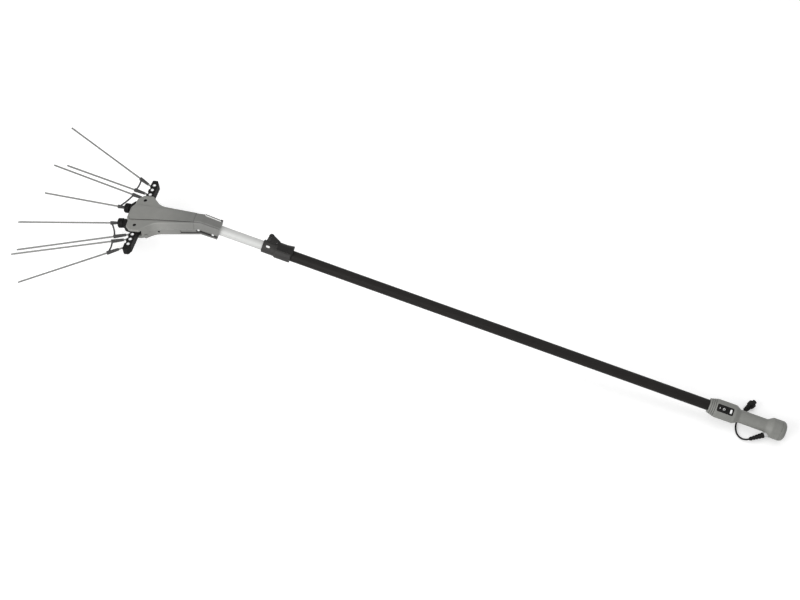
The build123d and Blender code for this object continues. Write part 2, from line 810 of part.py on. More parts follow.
with BuildPart() as upper:
    with BuildSketch(head_plan()):
        with BuildLine():
            FilletPolyline(*whole(upper_outline), radius=both_sides(upper_radii), close=True)
        make_face()
    extrude(amount=top_c)
    walls = [face for face in upper.faces() if abs(face.normal_at().dot(crown)) < 0.01]
    draft(walls, neutral_plane=head_plan(), angle=wall_draft)
    top_edges = upper.faces().sort_by(Axis(bend_point, crown))[-1].edges()
    fillet(top_edges.sort_by(Axis(bend_point, ahead))[1:], top_round)
    with BuildSketch(head_plan(top_c)):
        with BuildLine():
            FilletPolyline(*whole(spine_outline), radius=both_sides(spine_radii), close=True)
        make_face()
    extrude(amount=spine_lift)
    split(bisect_by=front_cross, keep=Keep.TOP)
    for plane, half, height in upper_ends:
        with BuildSketch(plane):
            with BuildLine():
                rounds = [top_round, 0, 0, 0, 0, top_round]
                FilletPolyline(*upper_section(half, height), radius=rounds)
                Line((-half, 0), (half, 0))
            make_face()
    loft(ruled=True)
    with BuildSketch(head_plan()):
        with BuildLine():
            FilletPolyline(*whole(cavity_outline), radius=both_sides([45.0, 4.0]), close=True)
        make_face()
    extrude(amount=slot_top_c, mode=Mode.SUBTRACT)
    with BuildSketch(head_plan()):
        with Locations((slot_back_h + nose_h / 2, 0)):
            Rectangle(nose_h, 3 * lobe_half)
    extrude(amount=slot_top_c, mode=Mode.SUBTRACT)
    with BuildSketch(pole_cross(socket_start)):
        Circle(tube_seat_r)
    extrude(amount=inner_end - socket_start + seat_fit, mode=Mode.SUBTRACT)
    with BuildSketch(pole_cross(inner_end)):
        Circle(inner_r / 2)
    extrude(amount=passage_len, mode=Mode.SUBTRACT)
    with BuildSketch(head_plan()):
        with Locations((pivot_h, pivot_half), (pivot_h, -pivot_half)):
            Circle(pivot_d / 2 + seat_fit)
    extrude(amount=2 * top_c, mode=Mode.SUBTRACT)
finish(upper, "head_upper_shell")

lower_outline = [
    (stem_h - lead_in, stem_half - lead_in * flank_slope),
    (neck_h, neck_half),
    (slot_back_h + 2 * head_wall + 2.0, low_lobe_half + 6.0),
]
low_plate = [
    (slot_back_h - 8.0, low_lobe_half - 6.0),
    (slot_back_h + 6.0, low_lobe_half),
    (lobe_front_h - 4.0, low_lobe_half),
    (low_front_h, nose_half),
]
lower_ends = [
    (front_cross, stem_half, depth_c),
    (bend_cross, bend_half, (depth_c + socket_depth) / 2),
    (rear_cross, socket_half, socket_depth),
]
under_plan = Plane(bend_point, x_dir=ahead, z_dir=crown * -1)
motor_r = motor_d / 2
cavity_floor_c = head_wall - depth_c
bearing_r = bearing_d / 2
post_c = -3.0
cradle_places = [motor_front_h - motor_len / 5, motor_front_h - 4 * motor_len / 5]
side_screw_r = 3.3
side_screw_len = 4.7
rear_screw_half = socket_half - 6.9
front_screw_half = socket_half - 8.8
side_screw_planes = []
for side in (1, -1):
    facing = far * -side
    rear_screw = butt + along * (bend - 36.0) - up * 8.0
    side_screw_planes.append(Plane(rear_screw + facing * rear_screw_half, z_dir=facing))
    front_screw = head_point(9.0, side * front_screw_half, -9.0)
    side_screw_planes.append(Plane(front_screw, z_dir=facing))
flank_screw_r = 3.0
flank_screw_deep = 4.0
flank_screw_h = neck_h - 8.0
flank_screw_drop = 10.0


def flank_plane(side, sunk):
    """Plane of a side wall of the lower shell, sunk below its face: x forward, z out."""
    flank = atan2(neck_half - stem_half, neck_h - stem_h)
    lean = radians(wall_draft)
    forward = ahead * cos(flank) - far * side * sin(flank)
    facing = (far * -side * cos(flank) - ahead * sin(flank)) * cos(lean) - crown * sin(lean)
    return Plane(head_point(stem_h, side * stem_half, 0) - facing * sunk, x_dir=forward, z_dir=facing)


def scoop_outline(side, deep):
    """Corners of the hollow along a side wall: it slopes in downwards and ends on a ledge."""
    low_in = scoop_low_c * draft_fall - deep
    clear = 2 * deep
    corners = [(seat_fit, scoop_top_c), (low_in, scoop_low_c), (clear, scoop_low_c), (clear, scoop_top_c)]
    return [(x, side * y) for x, y in corners]


with BuildPart() as lower:
    with BuildSketch(under_plan):
        with BuildLine():
            FilletPolyline(*whole(lower_outline), radius=both_sides([45.0, 9.0]), close=True)
        make_face()
    extrude(amount=depth_c)
    walls = [face for face in lower.faces() if abs(face.normal_at().dot(crown)) < 0.01]
    draft(walls, neutral_plane=under_plan, angle=wall_draft)
    base_edges = lower.faces().sort_by(Axis(bend_point, crown))[0].edges()
    fillet(base_edges.sort_by(Axis(bend_point, ahead))[1:-1], base_round)
    split(bisect_by=front_cross, keep=Keep.TOP)
    for plane, half, depth in lower_ends:
        with BuildSketch(plane):
            with BuildLine():
                FilletPolyline(*lower_section(half, depth), radius=[base_round, base_round])
                Line((-half, 0), (half, 0))
            make_face()
    loft(ruled=True)
    with BuildSketch(head_plan(low_plate_c)):
        with BuildLine():
            FilletPolyline(*whole(low_plate), radius=both_sides([4.0, 10.0, 8.0]), close=True)
        make_face()
    extrude(amount=slot_low_c - low_plate_c)
    with BuildSketch(under_plan):
        with BuildLine():
            FilletPolyline(*whole(cavity_outline), radius=both_sides([45.0, 4.0]), close=True)
        make_face()
    extrude(amount=depth_c - head_wall, mode=Mode.SUBTRACT)
    with BuildSketch(head_plan(slot_low_c)):
        with Locations((slot_back_h + nose_h / 2, 0)):
            Rectangle(nose_h, 3 * lobe_half)
    extrude(amount=-slot_low_c, mode=Mode.SUBTRACT)
    for place in cradle_places:
        with BuildSketch(head_cross(place)):
            with Locations((0, (cavity_floor_c + motor_c) / 2)):
                Rectangle(motor_d + 2 * head_wall, motor_c - cavity_floor_c)
            with Locations((0, motor_c)):
                Circle(motor_r + seat_fit, mode=Mode.SUBTRACT)
        extrude(amount=head_wall)
    with BuildSketch(head_plan(cavity_floor_c)):
        with Locations((crank_h, 0)):
            Circle(bearing_r + seat_fit + head_wall)
    extrude(amount=post_c - cavity_floor_c)
    with BuildSketch(head_plan(cavity_floor_c + 1.0)):
        with Locations((crank_h, 0)):
            Circle(bearing_r + seat_fit)
    extrude(amount=-cavity_floor_c, mode=Mode.SUBTRACT)
    for side in (1, -1):
        flank = atan2(neck_half - stem_half, neck_h - stem_h)
        forward = ahead * cos(flank) - far * side * sin(flank)
        level = far * -side * cos(flank) - ahead * sin(flank)
        scoop_from = head_point(0, side * (stem_half - stem_h * flank_slope), 0)
        with BuildSketch(Plane(scoop_from, level, forward)):
            Polygon(*scoop_outline(side, scoop_deep), align=None)
        extrude(amount=scoop_end_h, mode=Mode.SUBTRACT)
        socket_scoop_from = bend_point - along * 2 * socket_len - far * side * socket_half
        with BuildSketch(Plane(socket_scoop_from, far * -side, along)):
            Polygon(*scoop_outline(side, socket_scoop), align=None)
        extrude(amount=2 * socket_len + lead_in, mode=Mode.SUBTRACT)
        with BuildSketch(flank_plane(side, flank_screw_deep)):
            with Locations((flank_screw_h - stem_h, side * flank_screw_drop)):
                Circle(flank_screw_r + seat_fit)
        extrude(amount=3 * flank_screw_deep, mode=Mode.SUBTRACT)
    for plane in side_screw_planes:
        with BuildSketch(plane):
            Circle(side_screw_r + seat_fit)
        extrude(amount=3 * side_screw_r, mode=Mode.SUBTRACT)
    with BuildSketch(pole_cross(socket_start)):
        Circle(tube_seat_r)
    extrude(amount=inner_end - socket_start + seat_fit, mode=Mode.SUBTRACT)
    with BuildSketch(pole_cross(inner_end)):
        Circle(inner_r / 2)
    extrude(amount=passage_len, mode=Mode.SUBTRACT)
    with BuildSketch(head_plan(low_plate_c)):
        with Locations((pivot_h, pivot_half), (pivot_h, -pivot_half)):
            Circle(pivot_d / 2 + seat_fit)
    extrude(amount=top_c, mode=Mode.SUBTRACT)
finish(lower, "head_lower_shell")

with BuildPart() as side_screws:
    for plane in side_screw_planes:
        with BuildSketch(plane):
            Circle(side_screw_r)
        extrude(amount=side_screw_len)
finish(side_screws, "head_side_screws")

with BuildPart() as flank_screws:
    for side in (1, -1):
        with BuildSketch(flank_plane(side, flank_screw_deep)):
            with Locations((flank_screw_h - stem_h, side * flank_screw_drop)):
                Circle(flank_screw_r)
        extrude(amount=flank_screw_deep + 1.2)
finish(flank_screws, "head_flank_screws")

pivot_places = [(pivot_h, pivot_half), (pivot_h, -pivot_half)]
with BuildPart() as bolts:
    with BuildSketch(head_plan(low_plate_c)):
        with Locations(*pivot_places):
            Circle(pivot_d / 2)
    extrude(amount=top_c - low_plate_c)
    with BuildSketch(head_plan(top_c - 3.0)):
        with Locations(*pivot_places):
            RegularPolygon(pivot_d / 4, 6)
    extrude(amount=top_c, mode=Mode.SUBTRACT)
finish(bolts, "pivot_bolts")

# Combs: two arms geared to each other, each with a bush, four rods, two rubber links and screws
pitch_r = pivot_half
sector_module = 2 * pitch_r / sector_teeth
sector_tip = pitch_r + 0.8 * sector_module
sector_root = pitch_r - 1.05 * sector_module - 0.4
tooth_half = pi * sector_module / 4 - backlash / 2
tooth_lean = tan(radians(20.0))
tip_half = tooth_half - (sector_tip - pitch_r) * tooth_lean
root_half = tooth_half + (pitch_r - sector_root) * tooth_lean
sector_step = 360.0 / sector_teeth
hub_low_c = slot_low_c + body_gap
hub_high_c = slot_top_c - body_gap
bush_r = pivot_d / 2 + bush_wall
rod_screw_r = 4.4
rod_screw_places = [112.0, 94.0, 76.0]
rod_screw_h = pivot_h - 3.0
pocket_places = [103.0, 85.0, 67.0]
pocket_len = 11.0
pocket_w = 9.0
pocket_deep = 5.0
rod_screw_len = 6.5
sector_half = 27.0
strap_bow = 3.0
rod_r = rod_d / 2


def rod_dir(number, side):
    """Direction of a rod of one comb."""
    fan = radians(rod_fan[number])
    return ahead * cos(fan) - far * side * sin(fan)


def rod_point(number, side, distance):
    """Point on a rod's axis at a distance in front of its exit from the arm."""
    exit_h, exit_half = rod_exit[number]
    return head_point(exit_h, side * exit_half, comb_c) + rod_dir(number, side) * distance


def rod_plane(number, side, distance):
    """Plane across a rod."""
    return Plane(rod_point(number, side, distance), z_dir=rod_dir(number, side))


def sector_plane(side):
    """Plane of an arm's gear sector: x from the pivot towards the other pivot."""
    return Plane(head_point(pivot_h, side * pivot_half, web_low_c), x_dir=far * side, z_dir=crown)


combs = [(1, "left", 0.0, left_reach), (-1, "right", 0.5, right_reach)]
for side, word, tooth_shift, reaches in combs:
    with BuildPart() as arm:
        with BuildSketch(head_plan(arm_low_c)):
            with BuildLine():
                FilletPolyline(
                    (arm_rear_h, side * pivot_half),
                    (arm_rear_h, side * (arm_tip_half - arm_back)),
                    (arm_rear_h + 6.0, side * arm_tip_half),
                    (arm_front_h - 1.0, side * arm_tip_half),
                    (arm_front_h, side * (arm_tip_half - arm_back)),
                    (arm_front_h, side * pivot_half),
                    radius=[0, 8.0, 5.0, 4.0, 8.0, 0],
                    close=True,
                )
            make_face()
            with BuildLine():
                Polyline(
                    (pivot_h, side * (pivot_half + 10.0)),
                    (arm_front_h, side * (pivot_half + 9.0)),
                    (brow_h + 4.0, side * (pivot_half + 1.0)),
                    (rod_exit[3][0], side * (rod_exit[3][1] + 10.0)),
                    (rod_exit[3][0], side * (rod_exit[3][1] - 8.0)),
                    (arm_front_h + 4.0, side * (rod_exit[3][1] - 6.0)),
                    (pivot_h - 4.0, side * (pivot_half - 6.0)),
                    close=True,
                )
            make_face()
        extrude(amount=arm_high_c - arm_low_c)
        with BuildSketch(head_plan(arm_high_c - pocket_deep)):
            with Locations(*[(arm_front_h, side * place) for place in pocket_places]):
                RectangleRounded(pocket_len, pocket_w, pocket_w / 4)
        extrude(amount=2 * pocket_deep, mode=Mode.SUBTRACT)
        with BuildSketch(head_plan(hub_low_c)):
            with Locations((pivot_h, side * pivot_half)):
                Circle(hub_d / 2)
        extrude(amount=hub_high_c - hub_low_c)
        with BuildSketch(rod_plane(3, side, knob_back - holder_len)):
            Circle(holder_d / 2)
        extrude(amount=holder_len)
        with BuildSketch(rod_plane(3, side, knob_back)):
            Circle(knob_d / 2 - 1.5)
        extrude(amount=knob_len)
        for count in range(knob_ribs):
            with BuildSketch(rod_plane(3, side, knob_back + knob_len / knob_ribs * count)):
                Circle(knob_d / 2)
            extrude(amount=knob_len / knob_ribs * 0.6)
        with BuildSketch(sector_plane(side)):
            edge_x = sector_root * cos(radians(sector_half))
            edge_y = sector_root * sin(radians(sector_half))
            with BuildLine():
                Polyline((edge_x, -edge_y), (0, 0), (edge_x, edge_y))
                ThreePointArc((edge_x, edge_y), (sector_root, 0), (edge_x, -edge_y))
            make_face()
            for count in range(-2, 3 - int(2 * tooth_shift)):
                Polygon(
                    (sector_root - 1.0, -root_half),
                    (sector_tip, -tip_half),
                    (sector_tip, tip_half),
                    (sector_root - 1.0, root_half),
                    align=None,
                    rotation=(count + tooth_shift) * sector_step,
                )
        extrude(amount=web_high_c - web_low_c)
        if side < 0:
            with BuildSketch(head_plan(web_high_c)):
                with Locations((pivot_h, side * (pivot_half - lever_arm))):
                    Circle(crank_pin_d / 2)
            extrude(amount=link_high_c + 1.5 - web_high_c)
        with BuildSketch(head_plan(hub_low_c)):
            with Locations((pivot_h, side * pivot_half)):
                Circle(bush_r + seat_fit)
        extrude(amount=hub_high_c - hub_low_c, mode=Mode.SUBTRACT)
        for number in range(len(rod_exit)):
            with BuildSketch(rod_plane(number, side, -rod_insert[number])):
                Circle(rod_r + seat_fit)
            extrude(amount=holder_len + knob_len + rod_insert[number], mode=Mode.SUBTRACT)
        with BuildSketch(head_plan(arm_high_c - rod_screw_len)):
            with Locations(*[(rod_screw_h, side * place) for place in rod_screw_places]):
                Circle(rod_screw_r / 2 + seat_fit)
        extrude(amount=rod_screw_len, mode=Mode.SUBTRACT)
    finish(arm, word + "_arm")

    with BuildPart() as bush:
        with BuildSketch(head_plan(hub_low_c)):
            with Locations((pivot_h, side * pivot_half)):
                Circle(bush_r)
                Circle(pivot_d / 2 + slide_fit, mode=Mode.SUBTRACT)
        extrude(amount=hub_high_c - hub_low_c)
    finish(bush, word + "_arm_bush")

    with BuildPart() as rod_screws:
        with BuildSketch(head_plan(arm_high_c - rod_screw_len)):
            with Locations(*[(rod_screw_h, side * place) for place in rod_screw_places]):
                Circle(rod_screw_r / 2)
        extrude(amount=rod_screw_len)
        with BuildSketch(head_plan(arm_high_c)):
            with Locations(*[(rod_screw_h, side * place) for place in rod_screw_places]):
                Circle(rod_screw_r)
                RegularPolygon(rod_screw_r / 2, 6, mode=Mode.SUBTRACT)
        extrude(amount=2.2)
    finish(rod_screws, word + "_rod_screws")

    for number in range(len(rod_exit)):
        with BuildPart() as rod:
            with BuildSketch(rod_plane(number, side, -rod_insert[number])):
                Circle(rod_r)
            extrude(amount=rod_insert[number] + reaches[number])
            rod_axis = Axis(rod_point(number, side, 0), rod_dir(number, side))
            fillet(rod.edges().filter_by(GeomType.CIRCLE).sort_by(rod_axis)[-1], rod_r - 0.2)
        if side < 0:
            finish(rod, "rod_" + str(number + 1))
        else:
            finish(rod, "rod_" + str(2 * len(rod_exit) - number))

    for first, second, place_word in ((0, 1, "outer"), (2, 3, "inner")):
        strap_start = rod_point(first, side, sleeve_front[first] - strap_d / 2)
        strap_end = rod_point(second, side, sleeve_front[second] - strap_d / 2)
        strap_mid = (strap_start + strap_end) * 0.5 - ahead * strap_bow
        with BuildPart() as rubber:
            with BuildLine():
                strap_line = ThreePointArc(strap_start, strap_mid, strap_end)
            with BuildSketch(Plane(strap_start, z_dir=strap_line.tangent_at(0))):
                Circle(strap_d / 2)
            sweep(path=strap_line)
            for number in (first, second):
                with BuildSketch(rod_plane(number, side, sleeve_front[number] - sleeve_len[number])):
                    Circle(sleeve_rear_d / 2)
                with BuildSketch(rod_plane(number, side, sleeve_front[number])):
                    Circle(sleeve_front_d / 2)
                loft()
            for number in (first, second):
                with BuildSketch(rod_plane(number, side, 0)):
                    Circle(rod_r + seat_fit)
                extrude(amount=2 * sleeve_front[number], mode=Mode.SUBTRACT)
        finish(rubber, word + "_" + place_word + "_link")

# Drive: motor, pinion, crown gear with its crank pin, and the rod to the right arm
can_wall = 1.6
with BuildPart() as can:
    with BuildSketch(Plane(head_point(motor_rear_h, 0, motor_c), x_dir=far * -1, z_dir=ahead)):
        Circle(motor_r)
    extrude(amount=motor_len)
    with BuildSketch(Plane(head_point(motor_rear_h, 0, motor_c), x_dir=far * -1, z_dir=ahead)):
        Circle(motor_r - can_wall)
    extrude(amount=motor_len - 2 * can_wall, mode=Mode.SUBTRACT)
    with BuildSketch(Plane(head_point(motor_rear_h, 0, motor_c), x_dir=far * -1, z_dir=ahead)):
        Circle(rotor_d / 2 + slide_fit)
    extrude(amount=motor_len, mode=Mode.SUBTRACT)
finish(can, "motor_can")

with BuildPart() as end_cap:
    with BuildSketch(Plane(head_point(motor_rear_h, 0, motor_c), x_dir=far * -1, z_dir=ahead)):
        Circle(motor_r - can_wall - seat_fit)
        Circle(rotor_d / 2 + slide_fit, mode=Mode.SUBTRACT)
    extrude(amount=3 * can_wall)
finish(end_cap, "motor_end_cap")

pinion_pitch_r = crown_pitch_r * pinion_teeth / crown_teeth
mesh_module = 2 * crown_pitch_r / crown_teeth
pinion_tip = pinion_pitch_r + 0.8 * mesh_module
pinion_root = pinion_pitch_r - 1.05 * mesh_module
mesh_half = pi * mesh_module / 4 - backlash / 2
mesh_c = motor_c + pinion_pitch_r
pinion_h = crank_h - crown_pitch_r - crown_face / 2
with BuildPart() as rotor:
    with BuildSketch(Plane(head_point(motor_rear_h + 1.0, 0, motor_c), x_dir=far * -1, z_dir=ahead)):
        Circle(rotor_d / 2)
    extrude(amount=pinion_h + crown_face - motor_rear_h)
    armature_start = head_point(motor_rear_h + 6 * can_wall, 0, motor_c)
    with BuildSketch(Plane(armature_start, x_dir=far * -1, z_dir=ahead)):
        Circle(motor_r - 2 * can_wall)
    extrude(amount=motor_len - 10 * can_wall)
finish(rotor, "motor_rotor")

with BuildPart() as pinion:
    with BuildSketch(Plane(head_point(pinion_h, 0, motor_c), x_dir=far * -1, z_dir=ahead)):
        Circle(pinion_root)
        for count in range(pinion_teeth):
            lean = (pinion_tip - pinion_pitch_r) * tooth_lean
            Polygon(
                (pinion_root - 0.6, -mesh_half - lean),
                (pinion_tip, -mesh_half + lean),
                (pinion_tip, mesh_half - lean),
                (pinion_root - 0.6, mesh_half + lean),
                align=None,
                rotation=90.0 + (count + 0.5) * 360.0 / pinion_teeth,
            )
        Circle(rotor_d / 2 + seat_fit, mode=Mode.SUBTRACT)
    extrude(amount=crown_face)
finish(pinion, "pinion")

crown_tip_c = mesh_c - 0.8 * mesh_module
crown_root_c = mesh_c + 1.05 * mesh_module
with BuildPart() as crown_gear:
    with BuildSketch(head_plan(crown_root_c)):
        with Locations((crank_h, 0)):
            Circle(crown_pitch_r + crown_face / 2)
    extrude(amount=web_high_c - crown_root_c)
    for count in range(crown_teeth):
        turn = 360.0 / crown_teeth * count
        tooth_out = ahead * cos(radians(turn)) - far * sin(radians(turn))
        tooth_start = head_point(crank_h, 0, mesh_c) + tooth_out * (crown_pitch_r - crown_face / 2)
        with BuildSketch(Plane(tooth_start, x_dir=crown.cross(tooth_out), z_dir=tooth_out)):
            with BuildLine():
                lean = 0.8 * mesh_module * tooth_lean
                Polyline(
                    (-mesh_half + lean, crown_tip_c - mesh_c),
                    (mesh_half - lean, crown_tip_c - mesh_c),
                    (mesh_half + lean, crown_root_c - mesh_c + 0.2),
                    (-mesh_half - lean, crown_root_c - mesh_c + 0.2),
                    close=True,
                )
            make_face()
        extrude(amount=crown_face)
    with BuildSketch(head_plan(cavity_floor_c + 1.5)):
        with Locations((crank_h, 0)):
            Circle(shaft_d / 2)
    extrude(amount=crown_root_c - cavity_floor_c - 1.5)
    with BuildSketch(head_plan(web_high_c)):
        with Locations((crank_h + crank_throw, 0)):
            Circle(crank_pin_d / 2)
    extrude(amount=link_low_c - body_gap - web_high_c)
finish(crown_gear, "crown_gear")

bearings = [("lower_bearing", cavity_floor_c + 1.0), ("upper_bearing", post_c - bearing_len)]
for bearing_name, bearing_c in bearings:
    with BuildPart() as bearing:
        with BuildSketch(head_plan(bearing_c)):
            with Locations((crank_h, 0)):
                Circle(bearing_r)
                Circle(shaft_d / 2 + slide_fit, mode=Mode.SUBTRACT)
        extrude(amount=bearing_len)
    finish(bearing, bearing_name)

link_start = (crank_h + crank_throw, 0)
link_end = (pivot_h, -(pivot_half - lever_arm))
link_turn = degrees(atan2(link_end[1] - link_start[1], link_end[0] - link_start[0]))
link_len = hypot(link_end[1] - link_start[1], link_end[0] - link_start[0])
with BuildPart() as link:
    with BuildSketch(head_plan(link_low_c)):
        with Locations(link_start, link_end):
            Circle(crank_pin_d)
        with Locations(((link_start[0] + link_end[0]) / 2, (link_start[1] + link_end[1]) / 2)):
            Rectangle(link_len, 1.2 * crank_pin_d, rotation=link_turn)
        with Locations(link_start, link_end):
            Circle(crank_pin_d / 2 + slide_fit, mode=Mode.SUBTRACT)
    extrude(amount=link_high_c - link_low_c)
finish(link, "connecting_rod")
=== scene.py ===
"""Electric olive harvester lying on a pale floor: pole, handle, pigtail, clamp, head and combs."""
from math import atan2, cos, radians, sin

import bpy
from mathutils import Matrix, Vector


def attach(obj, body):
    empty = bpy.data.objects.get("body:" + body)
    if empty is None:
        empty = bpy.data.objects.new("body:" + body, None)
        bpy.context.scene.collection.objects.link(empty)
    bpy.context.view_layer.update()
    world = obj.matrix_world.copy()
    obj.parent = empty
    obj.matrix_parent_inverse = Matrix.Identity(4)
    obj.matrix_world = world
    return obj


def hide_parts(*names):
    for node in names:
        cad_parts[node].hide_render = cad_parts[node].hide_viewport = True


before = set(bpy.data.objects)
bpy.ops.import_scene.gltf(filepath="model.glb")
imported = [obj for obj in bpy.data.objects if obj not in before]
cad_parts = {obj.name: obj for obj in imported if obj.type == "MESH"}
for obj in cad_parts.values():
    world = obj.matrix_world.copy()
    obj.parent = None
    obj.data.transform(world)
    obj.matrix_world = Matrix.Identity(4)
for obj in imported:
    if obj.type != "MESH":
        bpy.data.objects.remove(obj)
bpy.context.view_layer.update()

# The view: a long lens above the near side of the pole, rolled so that the pole runs down to the
# right. The picture is 800 by 600, and the lens is given in pixels of that width.
view_turn, view_lift, view_roll = radians(2.934), radians(50.369), radians(14.721)
view_far = 6.0
view_at = Vector((-0.0193, -0.0207, 0.0874))
picture_width, sensor_width, lens_pixels = 800.0, 36.0, 2214.6
towards = Vector((sin(view_turn) * cos(view_lift), -cos(view_turn) * cos(view_lift), sin(view_lift)))
level = Vector((cos(view_turn), sin(view_turn), 0.0))
over = towards.cross(level)
right = level * cos(view_roll) + over * sin(view_roll)
above = over * cos(view_roll) - level * sin(view_roll)
camera_data = bpy.data.cameras.new("photo_view")
camera_data.sensor_width = sensor_width
camera_data.lens = lens_pixels * sensor_width / picture_width
camera = bpy.data.objects.new("photo_view", camera_data)
bpy.context.collection.objects.link(camera)
camera_turn = Matrix((right, above, towards)).transposed().to_4x4()
camera.matrix_world = Matrix.Translation(view_at + towards * view_far) @ camera_turn
bpy.context.scene.camera = camera
bpy.context.scene.view_settings.view_transform = "Standard"

# The pole: two drawn aluminium tubes, the outer one painted satin black, the inner one left bare.
# Drawing leaves fine lines along the tube, and handling leaves a faint mottle on the paint.
pole_run, pole_rise = 0.997245, 0.074185
pole_along = Vector((-pole_run, 0.0, pole_rise))
pole_lean = atan2(pole_rise, pole_run)
line_stretch = 0.012


def new_finish(name, metallic=0.0, gloss=0.5):
    """A material with its shader, ready for its own nodes."""
    material = bpy.data.materials.new(name)
    material.use_nodes = True
    shader = material.node_tree.nodes["Principled BSDF"]
    shader.inputs["Metallic"].default_value = metallic
    shader.inputs["Specular IOR Level"].default_value = gloss
    return material, material.node_tree.nodes, material.node_tree.links, shader


def new_group(name, inputs, outputs):
    """A shader node group with number inputs and number outputs."""
    group = bpy.data.node_groups.new(name, "ShaderNodeTree")
    for word, value in inputs:
        socket = group.interface.new_socket(word, in_out="INPUT", socket_type="NodeSocketFloat")
        socket.default_value = value
    for word in outputs:
        group.interface.new_socket(word, in_out="OUTPUT", socket_type="NodeSocketFloat")
    return group, group.nodes.new("NodeGroupInput"), group.nodes.new("NodeGroupOutput")


def place_group(nodes, group, **values):
    """A node group placed in a material, with its own values."""
    node = nodes.new("ShaderNodeGroup")
    node.node_tree = group
    for word, value in values.items():
        node.inputs[word].default_value = value
    return node


def spread(nodes, links, source, low, high):
    """A value from 0 to 1 spread between two numbers."""
    node = nodes.new("ShaderNodeMapRange")
    node.inputs["To Min"].default_value = low
    node.inputs["To Max"].default_value = high
    links.new(source, node.inputs["Value"])
    return node.outputs["Result"]


def shade(nodes, links, source, dark, light):
    """A colour between two colours."""
    node = nodes.new("ShaderNodeMix")
    node.data_type = "RGBA"
    node.inputs["A"].default_value = (*dark, 1.0)
    node.inputs["B"].default_value = (*light, 1.0)
    links.new(source, node.inputs["Factor"])
    return node.outputs["Result"]


def raise_surface(nodes, links, shader, source, depth):
    """Height of the surface, as a bump in metres."""
    node = nodes.new("ShaderNodeBump")
    node.inputs["Strength"].default_value = 1.0
    node.inputs["Distance"].default_value = depth
    links.new(source, node.inputs["Height"])
    links.new(node.outputs["Normal"], shader.inputs["Normal"])


def dress(material, *names):
    """A finish on modelled nodes of the frame."""
    for name in names:
        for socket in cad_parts[name].material_slots:
            socket.material = material


draw_lines, lines_in, lines_out = new_group(
    "draw_lines", [("Lean", 0.0), ("Fineness", 900.0)], ["Line", "Mottle"]
)
lines_place = draw_lines.nodes.new("ShaderNodeTexCoord")
lines_turn = draw_lines.nodes.new("ShaderNodeVectorRotate")
lines_turn.rotation_type = "Y_AXIS"
lines_stretch = draw_lines.nodes.new("ShaderNodeMapping")
lines_stretch.inputs["Scale"].default_value = (line_stretch, 1.0, 1.0)
lines_noise = draw_lines.nodes.new("ShaderNodeTexNoise")
lines_noise.inputs["Detail"].default_value = 3.0
lines_mottle = draw_lines.nodes.new("ShaderNodeTexNoise")
lines_mottle.inputs["Scale"].default_value = 38.0
lines_mottle.inputs["Detail"].default_value = 4.0
draw_lines.links.new(lines_place.outputs["Object"], lines_turn.inputs["Vector"])
draw_lines.links.new(lines_in.outputs["Lean"], lines_turn.inputs["Angle"])
draw_lines.links.new(lines_turn.outputs["Vector"], lines_stretch.inputs["Vector"])
draw_lines.links.new(lines_stretch.outputs["Vector"], lines_noise.inputs["Vector"])
draw_lines.links.new(lines_in.outputs["Fineness"], lines_noise.inputs["Scale"])
draw_lines.links.new(lines_turn.outputs["Vector"], lines_mottle.inputs["Vector"])
draw_lines.links.new(lines_noise.outputs["Fac"], lines_out.inputs["Line"])
draw_lines.links.new(lines_mottle.outputs["Fac"], lines_out.inputs["Mottle"])


def drawn(name, mask, colours, fineness, roughness, depth, metallic=0.0, gloss=0.5):
    """A drawn tube: fine lines along the pole, with a colour and a gloss that follow one mask."""
    material, nodes, links, shader = new_finish(name, metallic, gloss)
    lines = place_group(nodes, draw_lines, Lean=pole_lean, Fineness=fineness)
    links.new(shade(nodes, links, lines.outputs[mask], *colours), shader.inputs["Base Color"])
    links.new(spread(nodes, links, lines.outputs[mask], *roughness), shader.inputs["Roughness"])
    raise_surface(nodes, links, shader, lines.outputs["Line"], depth)
    return material


black_paint = drawn(
    "satin_black_paint",
    mask="Mottle",
    colours=((0.009, 0.0082, 0.0076), (0.016, 0.0146, 0.0136)),
    fineness=700.0,
    roughness=(0.4, 0.54),
    depth=0.00004,
    gloss=0.1,
)
dress(black_paint, "outer_tube")
bare_aluminium = drawn(
    "bare_aluminium",
    mask="Line",
    colours=((0.47, 0.472, 0.465), (0.55, 0.552, 0.545)),
    fineness=1100.0,
    roughness=(0.72, 0.84),
    depth=0.00005,
    metallic=1.0,
)
dress(bare_aluminium, "inner_tube")

# The handle: two halves and a cap moulded in grey nylon with a spark-eroded grain. Corners are rubbed
# paler by hands and carry a painted highlight, and painted shade darkens the grooves.
corner_shade_share = 0.25
moulded_grain, grain_in, grain_out = new_group(
    "moulded_grain", [("Fineness", 1500.0)], ["Grain", "Mottle"]
)
grain_place = moulded_grain.nodes.new("ShaderNodeTexCoord")
grain_noise = moulded_grain.nodes.new("ShaderNodeTexNoise")
grain_noise.inputs["Detail"].default_value = 2.0
grain_mottle = moulded_grain.nodes.new("ShaderNodeTexNoise")
grain_mottle.inputs["Scale"].default_value = 55.0
grain_mottle.inputs["Detail"].default_value = 5.0
moulded_grain.links.new(grain_place.outputs["Object"], grain_noise.inputs["Vector"])
moulded_grain.links.new(grain_place.outputs["Object"], grain_mottle.inputs["Vector"])
moulded_grain.links.new(grain_in.outputs["Fineness"], grain_noise.inputs["Scale"])
moulded_grain.links.new(grain_noise.outputs["Fac"], grain_out.inputs["Grain"])
moulded_grain.links.new(grain_mottle.outputs["Fac"], grain_out.inputs["Mottle"])
